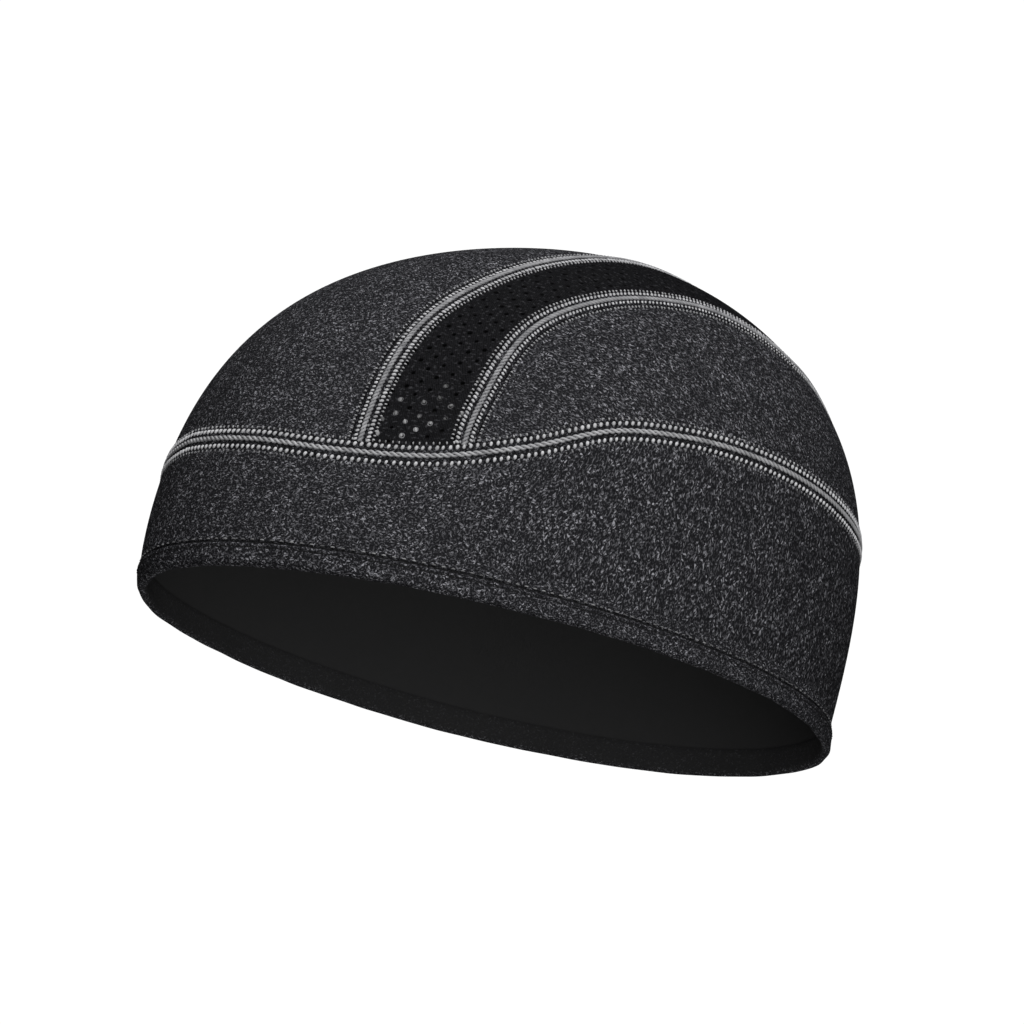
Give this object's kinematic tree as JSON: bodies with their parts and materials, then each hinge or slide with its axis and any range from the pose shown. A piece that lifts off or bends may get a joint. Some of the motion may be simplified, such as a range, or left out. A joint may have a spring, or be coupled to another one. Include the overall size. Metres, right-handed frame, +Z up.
{
  "type": "cycling skull cap",
  "caption": "Peakless stretch cap for cycling with a folded hem, a waved band seam and perforated strips that run over the crown between jersey panels.",
  "frame": {"origin": "where the top of a head carries the crown, on the inner face of the centre panel", "axes": "+Z up as worn, -Y towards the forehead, +X towards the wearer's left"},
  "size_m": [0.1518, 0.2004, 0.1334],
  "materials": {
    "jersey": "heather charcoal knit with pale flecks",
    "mesh": "black perforated knit",
    "seam_thread": "light grey cover stitch thread"
  },
  "bodies": {
    "root": {"band": "jersey", "crown_centre": "jersey", "crown_left": "jersey", "crown_right": "jersey", "mesh_strip_left": "mesh", "mesh_strip_right": "mesh", "seam_band": "seam_thread", "seam_inner_left": "seam_thread", "seam_outer_left": "seam_thread", "seam_inner_right": "seam_thread", "seam_outer_right": "seam_thread"}
  },
  "joints": []
}
